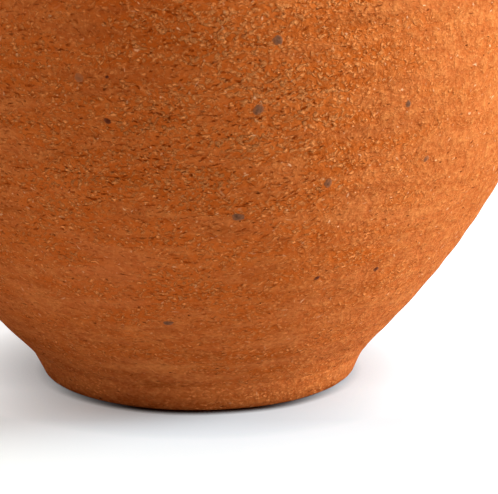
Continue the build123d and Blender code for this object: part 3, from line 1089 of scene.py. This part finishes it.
# %% Crushed stone
def crushed_stone():
    stone = bpy.data.materials.new("Basalt grit with a film of clay")
    stone.use_nodes = True
    tree = stone.node_tree
    tree.nodes.clear()
    where = add(tree, "ShaderNodeTexCoord")["Object"]
    mm = add(tree, "ShaderNodeVectorMath", {0: where, "Scale": 1000.0}, operation="SCALE")[0]
    speckle = add(tree, "ShaderNodeTexNoise", {"Vector": mm, "Scale": 1 / 0.9, "Detail": 3.0})[0]
    tone = add(tree, "ShaderNodeMapRange", {"Value": speckle, "From Min": 0.3, "From Max": 0.7})[0]
    basalt = {0: tone, 6: swatch("#5E3C27"), 7: swatch("#82583E")}
    tone = add(tree, "ShaderNodeMix", basalt, data_type="RGBA")[2]

    # some grains are brown lumps of iron ore
    iron = add(tree, "ShaderNodeAttribute", attribute_name="iron")["Fac"]
    tone = add(tree, "ShaderNodeMix", {0: iron, 6: tone, 7: swatch("#592408")}, data_type="RGBA")[2]

    # the film is thickest at the edge of a grain, where the clay closes over it
    edge = add(tree, "ShaderNodeAttribute", attribute_name="film")["Fac"]
    smear = add(tree, "ShaderNodeTexNoise", {"Vector": mm, "Scale": 1 / 1.4, "Detail": 2.0})[0]
    film = add(tree, "ShaderNodeMath", {0: edge, 1: smear}, operation="ADD")[0]
    film = add(tree, "ShaderNodeMapRange", {"Value": film, "From Min": 0.68, "From Max": 1.4})[0]
    tone = add(tree, "ShaderNodeMix", {0: film, 6: tone, 7: swatch("#AA6538")}, data_type="RGBA")[2]
    bump = add(tree, "ShaderNodeBump", {"Height": speckle, "Strength": 1.0, "Distance": 0.3 * MM})[0]
    finish = {"Base Color": tone, "Roughness": 0.7, "Normal": bump, "IOR": 1.55, "Specular IOR Level": 0.1}
    surface = add(tree, "ShaderNodeBsdfPrincipled", finish)[0]
    add(tree, "ShaderNodeOutputMaterial", {"Surface": surface})
    print(stone.name, len(tree.nodes), "nodes")
    return stone


basalt_grit = crushed_stone()

# %% [markdown]
# ## Which piece is what
# Each piece gets its clay, rides on the pot or on the lid, and stands for the CAD node of the same name.
# The grit is extra: it rides on the pot and stands for nothing.

# %% Finish and ride
pot_pieces = {
    "foot_ring": (foot_ring, turned_clay, "foot_clay"),
    "floor_disc": (floor_disc, wiped_clay, "wall_clay"),
    "lower_wall": (lower_wall, wiped_clay, "wall_clay"),
    "seam_coil": (seam_coil, wiped_clay, "wall_clay"),
    "upper_wall": (upper_wall, wiped_clay, "wall_clay"),
    "neck_collar": (neck_collar, wiped_clay, "wall_clay"),
    "rim_roll": (rim_roll, turned_clay, "wall_clay"),
    "right_handle": (right_handle, pulled_clay, "handle_clay"),
    "right_handle_wads": (right_handle_wads, pulled_clay, "handle_clay"),
    "left_handle": (left_handle, pulled_clay, "handle_clay"),
    "left_handle_wads": (left_handle_wads, pulled_clay, "handle_clay"),
}
lid_pieces = {
    "lid_dome": (lid_dome, wiped_clay, "lid_clay"),
    "lid_flange": (lid_flange, turned_clay, "lid_clay"),
    "lid_knob": (lid_knob, pulled_clay, "lid_clay"),
}
for body, pieces in (("pot", pot_pieces), ("lid", lid_pieces)):
    for node_name, (piece, clay, slot_name) in pieces.items():
        piece.data.materials.append(clay)
        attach(piece, body)
        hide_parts(node_name)
grit_stones.data.materials.append(basalt_grit)
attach(grit_stones, "pot")
print(len(pot_pieces) + len(lid_pieces) + 1, "pieces")

# %% [markdown]
# ## Table
# The jar stands on a white table that runs out of sight. A white surface only looks white under light
# that would bleach the clay, so the card is pale grey to the light, and what the eye sees of it is lifted
# to white by a faint glow. The glow fades where the jar hides the room, which paints a soft shadow on the
# table. The nook under the edge of the foot gets a painted dark brown contact shadow in front, and both
# painted shades are weaker beside and behind the foot, where more of the room reaches in.

# %% The table top
table_size = 8.0
half = table_size / 2
table_corners = [(-half, -half, 0), (half, -half, 0), (half, half, 0), (-half, half, 0)]
table_mesh = bpy.data.meshes.new("table")
table_mesh.from_pydata(table_corners, [], [(0, 1, 2, 3)])
table = bpy.data.objects.new("table", table_mesh)
bpy.context.scene.collection.objects.link(table)
print("table", table_size, "m wide")


# %% White card
def looked_at(tree):
    """1 for the rays of the camera, and 1 for those and what gloss or glass shows."""
    rays = add(tree, "ShaderNodeLightPath")
    seen = rays["Is Camera Ray"]
    for kind in ("Is Glossy Ray", "Is Transmission Ray"):
        seen = add(tree, "ShaderNodeMath", {0: seen, 1: rays[kind]}, operation="MAXIMUM")[0]
    return rays["Is Camera Ray"], seen


white_card = bpy.data.materials.new("White card")
white_card.use_nodes = True
card = white_card.node_tree
card.nodes.clear()
fibre = add(card, "ShaderNodeTexNoise", {"Scale": 900.0, "Detail": 2.0})[0]
pulp = {0: fibre, 6: swatch("#DCDCDC"), 7: swatch("#E0E0E0")}
paper = add(card, "ShaderNodeMix", pulp, data_type="RGBA")[2]
camera_ray, seen = looked_at(card)

# painted contact shadow in the nook under the foot: dark brown in front, lighter beside it and behind
painted_nook_shadow = add(card, "ShaderNodeAmbientOcclusion", {"Distance": 0.0036}, samples=8)["AO"]
where = add(card, "ShaderNodeTexCoord")["Object"]
depth = add(card, "ShaderNodeSeparateXYZ", {0: where})["Y"]
spans = {"Value": depth, "From Min": -0.045, "From Max": -0.020, "To Max": 0.8}
beside = add(card, "ShaderNodeMapRange", spans)[0]
spans = {"Value": painted_nook_shadow, "From Min": 0.30, "From Max": 0.95, "To Min": beside}
painted_nook_shadow = add(card, "ShaderNodeMapRange", spans)[0]
shade = {0: painted_nook_shadow, 6: swatch("#3A2214"), 7: swatch("#BFCFD4")}
shade = add(card, "ShaderNodeMix", shade, data_type="RGBA")[2]
shade = {0: camera_ray, 6: paper, 7: shade}
shade = add(card, "ShaderNodeMix", shade, data_type="RGBA")[2]
matte = add(card, "ShaderNodeBsdfDiffuse", {"Color": shade})[0]

# the glow paints the table's soft shadow where the jar hides the room, and painted light behind the foot
open_room = add(card, "ShaderNodeAmbientOcclusion", {"Distance": 0.025}, samples=8)["AO"]
glow = add(card, "ShaderNodeMapRange", {"Value": open_room, "To Min": 0.034, "To Max": 0.43})[0]
spans = {"Value": depth, "From Min": -0.058, "From Max": -0.025, "To Min": 1.0, "To Max": 1.87}
far_side = add(card, "ShaderNodeMapRange", spans)[0]
for share in (far_side, painted_nook_shadow, seen):
    glow = add(card, "ShaderNodeMath", {0: glow, 1: share}, operation="MULTIPLY")[0]
lift = add(card, "ShaderNodeEmission", {"Color": swatch("#FFFFFF"), "Strength": glow})[0]
both = add(card, "ShaderNodeAddShader", {0: matte, 1: lift})[0]
add(card, "ShaderNodeOutputMaterial", {"Surface": both})
table_mesh.materials.append(white_card)
print(white_card.name, len(card.nodes), "nodes")

# %% [markdown]
# ## Light
# A soft lamp on the right models the belly, a weak cool one reaches the left side, a warm one above
# lights the shoulder and the table, and the pale room fills the rest. They are kept at a plain level, at
# which a colour comes out about as it was written, so the jar looks right under other light too. The room
# shows white to the eye, but gives only its own weak warm light to the jar.

# %% Lamps
lamp_size = 0.6
belly_middle = Vector((0.0, 0.0, 0.06))
lamps = (  # name, place in metres, watts, colour
    ("key lamp", (1.11, -0.10, 0.51), 23.6, "#EEF6FF"),
    ("fill lamp", (-1.02, -0.37, 0.57), 2.6, "#E0ECFF"),
    ("top lamp", (0.0, -0.21, 1.24), 7.8, "#FFDAB7"),
)
for name, place, watts, colour in lamps:
    lamp_data = bpy.data.lights.new(name, "AREA")
    lamp_data.shape = "SQUARE"
    lamp_data.size = lamp_size
    lamp_data.energy = watts
    lamp_data.color = swatch(colour)[:3]
    lamp = bpy.data.objects.new(name, lamp_data)
    lamp.location = place
    lamp.rotation_euler = (belly_middle - Vector(place)).to_track_quat("-Z", "Y").to_euler()
    lamp.visible_camera = False
    bpy.context.scene.collection.objects.link(lamp)
    print(name, watts, "W")

# %% The room
room_light = 0.32
world = bpy.data.worlds.new("Pale room")
bpy.context.scene.world = world
world.use_nodes = True
room = world.node_tree
room.nodes.clear()
camera_ray, seen = looked_at(room)
walls = {0: seen, 6: swatch("#FFDAB7"), 7: swatch("#FFFFFF")}
walls = add(room, "ShaderNodeMix", walls, data_type="RGBA")[2]
power = add(room, "ShaderNodeMapRange", {"Value": seen, "To Min": room_light, "To Max": 1.0})[0]
sky = add(room, "ShaderNodeBackground", {"Color": walls, "Strength": power})[0]
add(room, "ShaderNodeOutputWorld", {"Surface": sky})
bpy.context.scene.view_settings.view_transform = "Standard"
print("room at", room_light)

# %% The end
bpy.context.view_layer.update()
